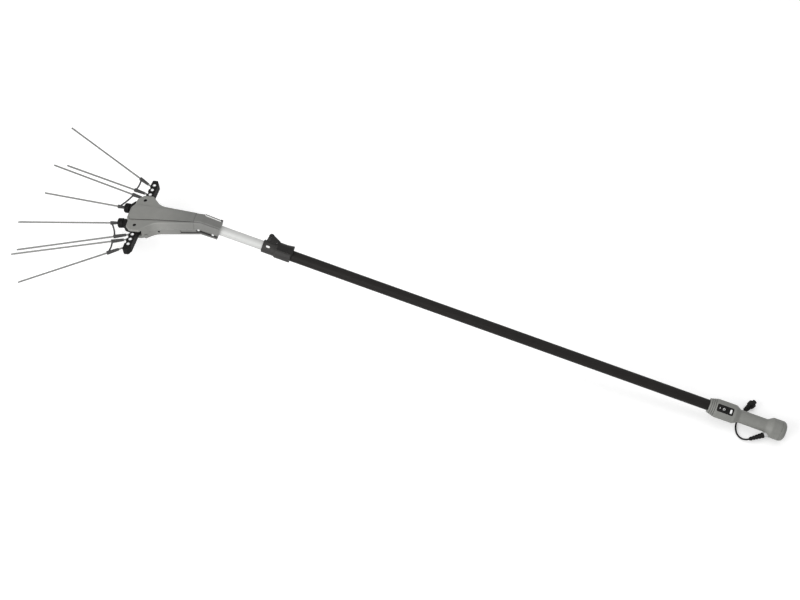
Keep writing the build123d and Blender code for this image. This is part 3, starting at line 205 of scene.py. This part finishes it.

# Paler edges: rubbing wear, and partly a painted highlight along the edges.
worn_and_highlit_edge, edge_in, edge_out = new_group(
    "worn_and_highlit_edge", [("Width", 0.0012), ("Breaks", 130.0)], ["Edge"]
)
edge_round = worn_and_highlit_edge.nodes.new("ShaderNodeBevel")
edge_round.samples = 4
edge_face = worn_and_highlit_edge.nodes.new("ShaderNodeNewGeometry")
edge_dot = worn_and_highlit_edge.nodes.new("ShaderNodeVectorMath")
edge_dot.operation = "DOT_PRODUCT"
edge_range = worn_and_highlit_edge.nodes.new("ShaderNodeMapRange")
edge_range.inputs["From Min"].default_value = 0.985
edge_range.inputs["From Max"].default_value = 0.85
edge_place = worn_and_highlit_edge.nodes.new("ShaderNodeTexCoord")
edge_noise = worn_and_highlit_edge.nodes.new("ShaderNodeTexNoise")
edge_noise.inputs["Detail"].default_value = 5.0
edge_keep = worn_and_highlit_edge.nodes.new("ShaderNodeMapRange")
edge_keep.inputs["From Min"].default_value = 0.35
edge_keep.inputs["From Max"].default_value = 0.62
edge_join = worn_and_highlit_edge.nodes.new("ShaderNodeMath")
edge_join.operation = "MULTIPLY"
worn_and_highlit_edge.links.new(edge_in.outputs["Width"], edge_round.inputs["Radius"])
worn_and_highlit_edge.links.new(edge_round.outputs["Normal"], edge_dot.inputs[0])
worn_and_highlit_edge.links.new(edge_face.outputs["Normal"], edge_dot.inputs[1])
worn_and_highlit_edge.links.new(edge_dot.outputs["Value"], edge_range.inputs["Value"])
worn_and_highlit_edge.links.new(edge_place.outputs["Object"], edge_noise.inputs["Vector"])
worn_and_highlit_edge.links.new(edge_in.outputs["Breaks"], edge_noise.inputs["Scale"])
worn_and_highlit_edge.links.new(edge_noise.outputs["Fac"], edge_keep.inputs["Value"])
worn_and_highlit_edge.links.new(edge_range.outputs["Result"], edge_join.inputs[0])
worn_and_highlit_edge.links.new(edge_keep.outputs["Result"], edge_join.inputs[1])
worn_and_highlit_edge.links.new(edge_join.outputs["Value"], edge_out.inputs["Edge"])

# Painted shade: the colour darkens in corners and grooves, where nearby surfaces shelter them.
corner_shade, shade_in, shade_out = new_group("corner_shade", [("Reach", 0.004)], ["Dirt"])
shade_shelter = corner_shade.nodes.new("ShaderNodeAmbientOcclusion")
shade_shelter.samples = 8
shade_shelter.only_local = True
shade_range = corner_shade.nodes.new("ShaderNodeMapRange")
shade_range.inputs["From Min"].default_value = 0.94
shade_range.inputs["From Max"].default_value = 0.5
corner_shade.links.new(shade_in.outputs["Reach"], shade_shelter.inputs["Distance"])
corner_shade.links.new(shade_shelter.outputs["AO"], shade_range.inputs["Value"])
corner_shade.links.new(shade_range.outputs["Result"], shade_out.inputs["Dirt"])


def cover(nodes, links, mask, below, colour, blend="MIX"):
    """A colour laid over another one where a mask is 1."""
    node = nodes.new("ShaderNodeMix")
    node.data_type = "RGBA"
    node.blend_type = blend
    node.inputs["B"].default_value = (*colour, 1.0)
    links.new(mask, node.inputs["Factor"])
    links.new(below, node.inputs["A"])
    return node.outputs["Result"]


def moulded(name, dark, light, rubbed_and_highlit, fineness, roughness, depth, gloss=0.5):
    """A moulded plastic: mottled colour, grain, paler rubbed and highlit corners, painted shade in the
    grooves.
    """
    material, nodes, links, shader = new_finish(name, gloss=gloss)
    grain = place_group(nodes, moulded_grain, Fineness=fineness)
    edge = place_group(nodes, worn_and_highlit_edge)
    corner_shading = place_group(nodes, corner_shade)
    body = shade(nodes, links, grain.outputs["Mottle"], dark, light)
    worn_and_highlit = cover(nodes, links, edge.outputs["Edge"], body, rubbed_and_highlit)
    # Painted shade: sheltered corners darken towards a share of the dark tone.
    corner_shade_colour = [corner_shade_share * channel for channel in dark]
    corner_shaded = cover(nodes, links, corner_shading.outputs["Dirt"], worn_and_highlit, corner_shade_colour)
    links.new(corner_shaded, shader.inputs["Base Color"])
    links.new(spread(nodes, links, grain.outputs["Mottle"], *roughness), shader.inputs["Roughness"])
    raise_surface(nodes, links, shader, grain.outputs["Grain"], depth)
    return material


handle_grey = moulded(
    "handle_grey",
    dark=(0.17, 0.172, 0.16),
    light=(0.216, 0.218, 0.203),
    rubbed_and_highlit=(0.31, 0.312, 0.297),
    fineness=1500.0,
    roughness=(0.46, 0.6),
    depth=0.0001,
)
dress(handle_grey, "handle_upper_shell", "handle_lower_shell", "butt_cap")

# The switch: a black bezel let into the collar, with a rocker and a milky charge lamp. The rocker's
# two halves lean away from its middle, and each carries a raised white mark, a bar and a ring.
switch_black = moulded(
    "switch_black",
    dark=(0.005, 0.0048, 0.0045),
    light=(0.01, 0.0097, 0.009),
    rubbed_and_highlit=(0.04, 0.039, 0.038),
    fineness=2200.0,
    roughness=(0.4, 0.52),
    depth=0.00006,
    gloss=0.12,
)
dress(switch_black, "switch_bezel", "switch_body", "rocker_switch", "plug_body", "plug_nose")
lamp_white = moulded(
    "lamp_white",
    dark=(0.78, 0.79, 0.79),
    light=(0.86, 0.86, 0.86),
    rubbed_and_highlit=(0.9, 0.9, 0.9),
    fineness=400.0,
    roughness=(0.12, 0.2),
    depth=0.00002,
)
dress(lamp_white, "charge_lamp")
mark_white = moulded(
    "mark_white",
    dark=(0.74, 0.74, 0.73),
    light=(0.82, 0.82, 0.81),
    rubbed_and_highlit=(0.85, 0.85, 0.85),
    fineness=1200.0,
    roughness=(0.4, 0.5),
    depth=0.00002,
)
rocker_at = Vector((0.89922, -0.030871, 0.056957))
rocker_along = Vector((-0.997478, 0.064581, -0.029434))
rocker_out = Vector((-0.05909, -0.525969, 0.848448))
mark_reach, mark_lean = 0.0055, 0.146
rocker_height, rocker_slope = 0.0057, 0.147
bar_size, bar_rounding = (0.0012, 0.0052, 0.0005), 0.00015
ring_radius, ring_thickness, ring_flatness = 0.0025, 0.0005, 0.5


def new_block(name, size, rounding=0.0):
    """A block at the origin, its edges rounded if asked."""
    bpy.ops.object.select_all(action="DESELECT")
    bpy.ops.mesh.primitive_cube_add(size=1.0)
    block = bpy.context.object
    block.name = name
    bpy.ops.object.mode_set(mode="EDIT")
    bpy.ops.transform.resize(value=size)
    if rounding:
        bpy.ops.mesh.bevel(offset=rounding, segments=2)
    bpy.ops.object.mode_set(mode="OBJECT")
    return block


def set_down(piece, middle, ahead, facing, finish):
    """A piece made at the origin, turned and moved to its place, with its finish."""
    turn = Matrix((ahead, facing.cross(ahead), facing)).transposed().to_4x4()
    piece.matrix_world = Matrix.Translation(middle) @ turn
    bpy.ops.object.transform_apply(location=True, rotation=True, scale=True)
    piece.data.materials.append(finish)


for name, side in (("rocker_on_mark", 1.0), ("rocker_off_mark", -1.0)):
    lean = side * mark_lean
    facing = rocker_out * cos(lean) - rocker_along * sin(lean)
    ahead = rocker_along * cos(lean) + rocker_out * sin(lean)
    rise = rocker_height + mark_reach * rocker_slope
    middle = rocker_at + rocker_along * (side * mark_reach) + rocker_out * rise
    if name == "rocker_on_mark":
        mark = new_block(name, bar_size, bar_rounding)
    else:
        bpy.ops.object.select_all(action="DESELECT")
        bpy.ops.mesh.primitive_torus_add(
            major_radius=ring_radius, minor_radius=ring_thickness, major_segments=40, minor_segments=10
        )
        mark = bpy.context.object
        mark.name = name
        bpy.ops.object.mode_set(mode="EDIT")
        bpy.ops.transform.resize(value=(1.0, 1.0, ring_flatness))
        bpy.ops.object.mode_set(mode="OBJECT")
    set_down(mark, middle, ahead, facing, mark_white)
    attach(mark, "rocker")

# The pigtail: a pale gland nut in the flare of the butt, a ribbed rubber strain relief, and a
# short round lead that runs over the floor and under the grip to its plug.
gland_pale = moulded(
    "gland_pale",
    dark=(0.5, 0.505, 0.51),
    light=(0.6, 0.605, 0.61),
    rubbed_and_highlit=(0.7, 0.7, 0.7),
    fineness=1600.0,
    roughness=(0.4, 0.5),
    depth=0.00006,
)
dress(gland_pale, "cord_gland")
lead_black = moulded(
    "lead_black",
    dark=(0.006, 0.0058, 0.0055),
    light=(0.012, 0.0116, 0.011),
    rubbed_and_highlit=(0.035, 0.034, 0.033),
    fineness=1900.0,
    roughness=(0.55, 0.7),
    depth=0.00008,
    gloss=0.12,
)
dress(lead_black, "strain_relief", "coiled_lead")
lead_radius = 0.0025
lead_route = [
    (0.995013, -0.065275, 0.009736),
    (0.989155, -0.06882, 0.008281),
    (0.976999, -0.068196, 0.0042),
    (0.965999, -0.062196, 0.0028),
    (0.957499, -0.050696, 0.0026),
    (0.953499, -0.035196, 0.0026),
    (0.952499, -0.020696, 0.0026),
    (0.958592, 0.011522, 0.004322),
    (0.968999, 0.028304, 0.0075),
]
lead_curve = bpy.data.curves.new("power_lead", "CURVE")
lead_curve.dimensions = "3D"
lead_curve.bevel_depth = lead_radius
lead_curve.bevel_resolution = 5
lead_curve.use_fill_caps = True
lead_curve.resolution_u = 16
lead_line = lead_curve.splines.new("NURBS")
lead_line.points.add(len(lead_route) - 1)
for point, place in zip(lead_line.points, lead_route):
    point.co = (*place, 1.0)
lead_line.order_u = 3
lead_line.use_endpoint_u = True
lead = bpy.data.objects.new("power_lead", lead_curve)
bpy.context.collection.objects.link(lead)
lead_curve.materials.append(lead_black)
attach(lead, "pole")
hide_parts("power_cord")


def metal(name, dark, light, fineness, roughness, depth=0.0):
    """A bare or plated metal: mottled colour and gloss, with a fine grain if it has a depth."""
    material, nodes, links, shader = new_finish(name, metallic=1.0)
    grain = place_group(nodes, moulded_grain, Fineness=fineness)
    links.new(shade(nodes, links, grain.outputs["Mottle"], dark, light), shader.inputs["Base Color"])
    links.new(spread(nodes, links, grain.outputs["Mottle"], *roughness), shader.inputs["Roughness"])
    if depth:
        raise_surface(nodes, links, shader, grain.outputs["Grain"], depth)
    return material


contact_brass = metal(
    "contact_brass",
    dark=(0.62, 0.45, 0.2),
    light=(0.78, 0.6, 0.3),
    fineness=900.0,
    roughness=(0.22, 0.4),
)
dress(contact_brass, "plug_contacts", "left_arm_bush", "right_arm_bush")

# The clamp: a split collar with a cam lever on a steel pin, moulded in black glass-filled nylon.
# A white nylon pad with rounded ends sits in the window of the collar.
# The collar and its bushes take a paler copy of the lever's black nylon: a painted highlight.
highlit_clamp_black = moulded(
    "highlit_clamp_black",
    dark=(0.02, 0.0193, 0.0186),
    light=(0.034, 0.0328, 0.0316),
    rubbed_and_highlit=(0.09, 0.088, 0.085),
    fineness=1300.0,
    roughness=(0.42, 0.56),
    depth=0.00012,
    gloss=0.2,
)
dress(highlit_clamp_black, "clamp_collar", "front_guide_bush", "rear_guide_bush")
lever_black = moulded(
    "lever_black",
    dark=(0.008, 0.0076, 0.0073),
    light=(0.014, 0.0134, 0.0128),
    rubbed_and_highlit=(0.06, 0.059, 0.057),
    fineness=1300.0,
    roughness=(0.4, 0.52),
    depth=0.00012,
    gloss=0.14,
)
dress(lever_black, "clamp_lever")
pad_at = Vector((-0.399468, -0.029501, 0.149847))
pad_out = Vector((0.060769, -0.573576, 0.816895))
pad_size = (0.011, 0.006, 0.0029)
pad_level = 0.001
smooth_angle = radians(40.0)
pad = new_block("clamp_window_pad", pad_size)
bpy.ops.object.mode_set(mode="EDIT")
bpy.ops.mesh.select_mode(type="EDGE")
for rim, width, steps in (("sides", 0.00298, 8), ("top", 0.0004, 2)):
    bpy.ops.mesh.select_all(action="DESELECT")
    bpy.ops.object.mode_set(mode="OBJECT")
    for edge in pad.data.edges:
        low, high = sorted(pad.data.vertices[number].co.z for number in edge.vertices)
        edge.select = high - low > pad_level if rim == "sides" else low > pad_level
    bpy.ops.object.mode_set(mode="EDIT")
    bpy.ops.mesh.bevel(offset=width, segments=steps)
bpy.ops.object.mode_set(mode="OBJECT")
set_down(pad, pad_at, pole_along, pad_out, mark_white)
bpy.ops.object.shade_smooth_by_angle(angle=smooth_angle)
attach(pad, "pole")

# The head: upper and lower shells moulded in grey nylon, screwed together around the motor. Its
# neck carries painted shade, darker towards the rear of the head.
bright_zinc = metal(
    "bright_zinc",
    dark=(0.66, 0.665, 0.67),
    light=(0.8, 0.8, 0.8),
    fineness=800.0,
    roughness=(0.22, 0.38),
    depth=0.00004,
)
dress(bright_zinc, "head_side_screws", "left_rod_screws", "right_rod_screws")
head_grey = moulded(
    "head_grey",
    dark=(0.168, 0.169, 0.158),
    light=(0.218, 0.219, 0.205),
    rubbed_and_highlit=(0.34, 0.34, 0.326),
    fineness=1400.0,
    roughness=(0.44, 0.58),
    depth=0.0001,
)
# Painted shade: the head's colour darkens towards its rear, where it meets the pole.
neck_shade = (0.72, 0.72, 0.73)
painted_neck_shade, neck_in, neck_out = new_group("painted_neck_shade", [("Front", -0.71), ("Rear", -0.61)], ["Grime"])
neck_place = painted_neck_shade.nodes.new("ShaderNodeTexCoord")
neck_split = painted_neck_shade.nodes.new("ShaderNodeSeparateXYZ")
neck_range = painted_neck_shade.nodes.new("ShaderNodeMapRange")
neck_range.interpolation_type = "SMOOTHSTEP"
painted_neck_shade.links.new(neck_place.outputs["Object"], neck_split.inputs["Vector"])
painted_neck_shade.links.new(neck_split.outputs["X"], neck_range.inputs["Value"])
painted_neck_shade.links.new(neck_in.outputs["Front"], neck_range.inputs["From Min"])
painted_neck_shade.links.new(neck_in.outputs["Rear"], neck_range.inputs["From Max"])
painted_neck_shade.links.new(neck_range.outputs["Result"], neck_out.inputs["Grime"])
nodes, links = head_grey.node_tree.nodes, head_grey.node_tree.links
base_colour = nodes["Principled BSDF"].inputs["Base Color"]
unshaded_colour = base_colour.links[0].from_socket
neck = place_group(nodes, painted_neck_shade)
neck_shaded = cover(nodes, links, neck.outputs["Grime"], unshaded_colour, neck_shade, "MULTIPLY")
links.new(neck_shaded, base_colour)
dress(head_grey, "head_upper_shell", "head_lower_shell")
black_oxide = moulded(
    "black_oxide",
    dark=(0.004, 0.004, 0.004),
    light=(0.008, 0.008, 0.008),
    rubbed_and_highlit=(0.02, 0.02, 0.02),
    fineness=1200.0,
    roughness=(0.4, 0.5),
    depth=0.00004,
    gloss=0.1,
)
dress(black_oxide, "pivot_bolts", "head_flank_screws", "handle_screws", "clamp_pin")

# The trim on the far rear edge of the head: a pale plastic strip on the edge of the spine, a painted
# highlight where that edge is lit, and a black lip, painted shade along the ledge's dark edge, with an
# end stop in the ledge beside it. Places run from the head's rear end, along the pole.
pole_far = Vector((0.0, 1.0, 0.0))
pole_up = Vector((pole_rise, 0.0, pole_run))
head_rear_place = 0.54598
head_rear = pole_along * head_rear_place
trim_flare, trim_climb = 0.024, 0.0166
trim_rounding = 0.0003
trim_along = (pole_along + pole_far * trim_flare + pole_up * trim_climb).normalized()
trim_out = trim_along.cross(pole_up.cross(trim_along).normalized())
for name, start, end, near_edge, far_edge, bottom, top, finish, slot in (
    ("painted_highlight_strip", 0.0055, 0.05, -0.0108, -0.0077, 0.129, 0.1297, mark_white, "white_plastic"),
    ("painted_shade_lip", 0.0055, 0.05, -0.0076, -0.0046, 0.1265, 0.1294, lever_black, "black_plastic"),
    ("edge_trim_stop", 0.0006, 0.0065, -0.0078, -0.0036, 0.1262, 0.1304, lever_black, "black_plastic"),
):
    trim = new_block(name, (end - start, far_edge - near_edge, top - bottom), trim_rounding)
    across = pole_far * (near_edge + far_edge) * 0.5 + pole_up * (bottom + top) * 0.5
    middle = head_rear + trim_along * (start + end) * 0.5 + across
    set_down(trim, middle, trim_along, trim_out, finish)
    bpy.ops.object.shade_smooth_by_angle(angle=smooth_angle)
    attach(trim, "head")

# The drive inside the head: a can motor, pinion, crown wheel, crank and connecting rod, of machined
# steel in two bearings. The motor's end cap is moulded in black.
drive_steel = metal(
    "drive_steel",
    dark=(0.42, 0.42, 0.43),
    light=(0.6, 0.6, 0.6),
    fineness=700.0,
    roughness=(0.25, 0.42),
)
dress(drive_steel, "motor_can", "motor_rotor", "pinion", "crown_gear", "connecting_rod")
dress(drive_steel, "lower_bearing", "upper_bearing")
dress(switch_black, "motor_end_cap")

# The combs: two black nylon arms, eight grey fibre rods screwed into them, and rubber links that are
# pushed over the rods and join them in pairs.
arm_black = moulded(
    "arm_black",
    dark=(0.005, 0.0049, 0.0047),
    light=(0.009, 0.0088, 0.0086),
    rubbed_and_highlit=(0.04, 0.039, 0.038),
    fineness=1300.0,
    roughness=(0.45, 0.58),
    depth=0.00012,
    gloss=0.08,
)
dress(arm_black, "left_arm", "right_arm")
rod_grey = moulded(
    "rod_grey",
    dark=(0.12, 0.12, 0.117),
    light=(0.18, 0.18, 0.175),
    rubbed_and_highlit=(0.24, 0.24, 0.235),
    fineness=1000.0,
    roughness=(0.4, 0.54),
    depth=0.00004,
)
dress(rod_grey, *("rod_" + str(number) for number in range(1, 9)))
link_rubber = moulded(
    "link_rubber",
    dark=(0.03, 0.03, 0.03),
    light=(0.048, 0.048, 0.048),
    rubbed_and_highlit=(0.08, 0.08, 0.08),
    fineness=1700.0,
    roughness=(0.62, 0.78),
    depth=0.00005,
    gloss=0.3,
)
dress(link_rubber, "left_inner_link", "left_outer_link", "right_inner_link", "right_outer_link")

# The floor: a plain pale sheet just below the part. It shows white to the camera but keeps the
# shadow, by a little light of its own that only the camera sees.
floor_width, floor_drop, floor_glow = 40.0, 0.0002, 0.4
bpy.ops.object.select_all(action="DESELECT")
bpy.ops.mesh.primitive_plane_add(size=floor_width, location=(0.0, 0.0, -floor_drop))
floor = bpy.context.object
floor.name = "floor"
floor_pale, nodes, links, shader = new_finish("floor_pale")
shader.inputs["Base Color"].default_value = (0.82, 0.82, 0.82, 1.0)
shader.inputs["Roughness"].default_value = 0.9
glow = nodes.new("ShaderNodeEmission")


def backdrop_seen(nodes, links):
    """1 where the camera sees the backdrop, itself or in metal and glass, and 0 where it only lights."""
    seen = nodes.new("ShaderNodeLightPath")
    straight = nodes.new("ShaderNodeMath")
    straight.operation = "MAXIMUM"
    links.new(seen.outputs["Is Camera Ray"], straight.inputs[0])
    links.new(seen.outputs["Is Glossy Ray"], straight.inputs[1])
    through = nodes.new("ShaderNodeMath")
    through.operation = "MAXIMUM"
    links.new(straight.outputs["Value"], through.inputs[0])
    links.new(seen.outputs["Is Transmission Ray"], through.inputs[1])
    return through.outputs["Value"]


lift = nodes.new("ShaderNodeMath")
lift.operation = "MULTIPLY"
lift.inputs[1].default_value = floor_glow
joined = nodes.new("ShaderNodeAddShader")
links.new(backdrop_seen(nodes, links), lift.inputs[0])
links.new(lift.outputs["Value"], glow.inputs["Strength"])
links.new(shader.outputs["BSDF"], joined.inputs[0])
links.new(glow.outputs["Emission"], joined.inputs[1])
links.new(joined.outputs["Shader"], nodes["Material Output"].inputs["Surface"])
floor.data.materials.append(floor_pale)

# Soft studio light: a pale room all round, which lights less than it shows, a broad key from the near
# side and a weak top light.
room_lights, room_shows = 0.5, 1.0
room = bpy.data.worlds.new("pale_room")
bpy.context.scene.world = room
room.use_nodes = True
nodes, links = room.node_tree.nodes, room.node_tree.links
room_glow = nodes["Background"]
room_glow.inputs["Color"].default_value = (1.0, 1.0, 1.0, 1.0)
room_level = spread(nodes, links, backdrop_seen(nodes, links), room_lights, room_shows)
links.new(room_level, room_glow.inputs["Strength"])
for name, place, size, power in (
    ("near_key", Vector((-1.6, -2.8, 1.45)), 2.8, 116.0),
    ("top_fill", Vector((0.4, 0.6, 3.2)), 2.8, 20.0),
):
    lamp_data = bpy.data.lights.new(name, "AREA")
    lamp_data.size = size
    lamp_data.energy = power
    lamp = bpy.data.objects.new(name, lamp_data)
    bpy.context.collection.objects.link(lamp)
    lamp.location = place
    lamp.rotation_euler = (view_at - place).to_track_quat("-Z", "Y").to_euler()
